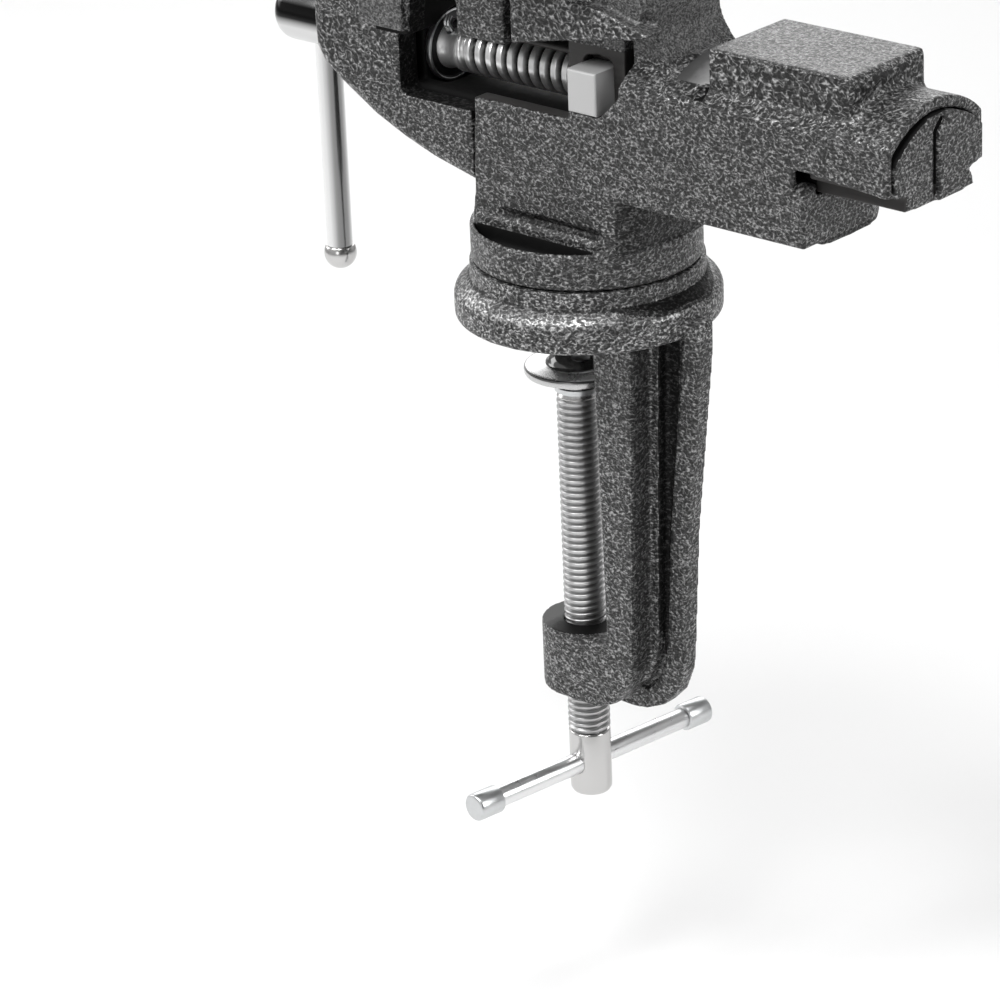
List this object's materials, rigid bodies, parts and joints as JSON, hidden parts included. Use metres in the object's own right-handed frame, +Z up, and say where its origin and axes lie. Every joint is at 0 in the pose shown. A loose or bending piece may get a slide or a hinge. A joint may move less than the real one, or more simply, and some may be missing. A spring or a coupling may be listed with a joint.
{
  "type": "clamp-on swivel bench vise",
  "caption": "Small table vise with an anvil, a swivelling base, a C-clamp with a domed pad and T-bar below, and a screw-driven front jaw with a sliding handle",
  "frame": {"origin": "on the swivel axis, in the underside of the round flange, which is the face that sits on the bench top", "axes": "+Z up along the swivel axis, +X along the jaw axis from the screw handle towards the anvil, +Y completes the right-handed frame"},
  "size_m": [0.2337, 0.0918, 0.2823],
  "materials": {
    "hammertone": "dark grey hammered paint over cast iron, satin to gloss, with bare machined strips",
    "bright_steel": "bright turned and threaded steel",
    "chrome": "bright plated bar",
    "zinc": "zinc plated, matt",
    "hardened_steel": "ground and serrated hardened steel",
    "black_steel": "blackened steel"
  },
  "bodies": {
    "clamp_base": {"clamp_frame": "hammertone", "swivel_bolt": "zinc", "swivel_washer": "zinc", "swivel_nut": "zinc"},
    "vise": {"vise_body": "hammertone", "fixed_jaw_plate": "hardened_steel", "fixed_jaw_screws": "black_steel", "lead_nut": "zinc"},
    "front_jaw": {"movable_jaw": "hammertone", "movable_jaw_plate": "hardened_steel", "movable_jaw_screws": "black_steel"},
    "lead_screw_set": {"lead_screw": "bright_steel", "front_thrust_washer": "zinc", "rear_thrust_washer": "black_steel", "retaining_pin": "zinc"},
    "handle": {"main_handle": "chrome", "handle_ball_lower": "bright_steel", "handle_ball_upper": "bright_steel"},
    "pad": {"clamp_pad": "chrome", "pad_ring": "zinc"},
    "clamp_spindle": {"clamp_screw": "bright_steel"},
    "t_bar": {"clamp_bar": "chrome", "clamp_bar_cap_near": "zinc", "clamp_bar_cap_far": "zinc"}
  },
  "joints": [
    {"name": "swivel", "type": "hinge", "parent": "clamp_base", "child": "vise", "pos_m": [0, 0, 0.017], "axis": [0, 0, 1], "continuous": true},
    {"name": "jaw_slide", "type": "slide", "parent": "vise", "child": "front_jaw", "axis": [1, 0, 0], "range_m": [-0.06, 0]},
    {"name": "lead_screw_turn", "type": "hinge", "parent": "front_jaw", "child": "lead_screw_set", "pos_m": [-0.097, 0, 0.0693], "axis": [1, 0, 0], "range_deg": [-5400, 0]},
    {"name": "handle_slide", "type": "slide", "parent": "lead_screw_set", "child": "handle", "axis": [0, 0, 1], "range_m": [0, 0.0617]},
    {"name": "clamp_travel", "type": "slide", "parent": "clamp_base", "child": "pad", "axis": [0, 0, 1], "range_m": [-0.07, 0.011]},
    {"name": "clamp_screw_turn", "type": "hinge", "parent": "pad", "child": "clamp_spindle", "pos_m": [-0.0055, 0, -0.1], "axis": [0, 0, 1], "range_deg": [-12600, 1980]},
    {"name": "clamp_bar_slide", "type": "slide", "parent": "clamp_spindle", "child": "t_bar", "axis": [0.1392, 0.9903, 0], "range_m": [-0.0308, 0.0304]}
  ],
  "couplings": [
    {"joint": "lead_screw_turn", "follows": "jaw_slide", "rad_per_m": 1570.8},
    {"joint": "clamp_screw_turn", "follows": "clamp_travel", "rad_per_m": 3141.6}
  ]
}
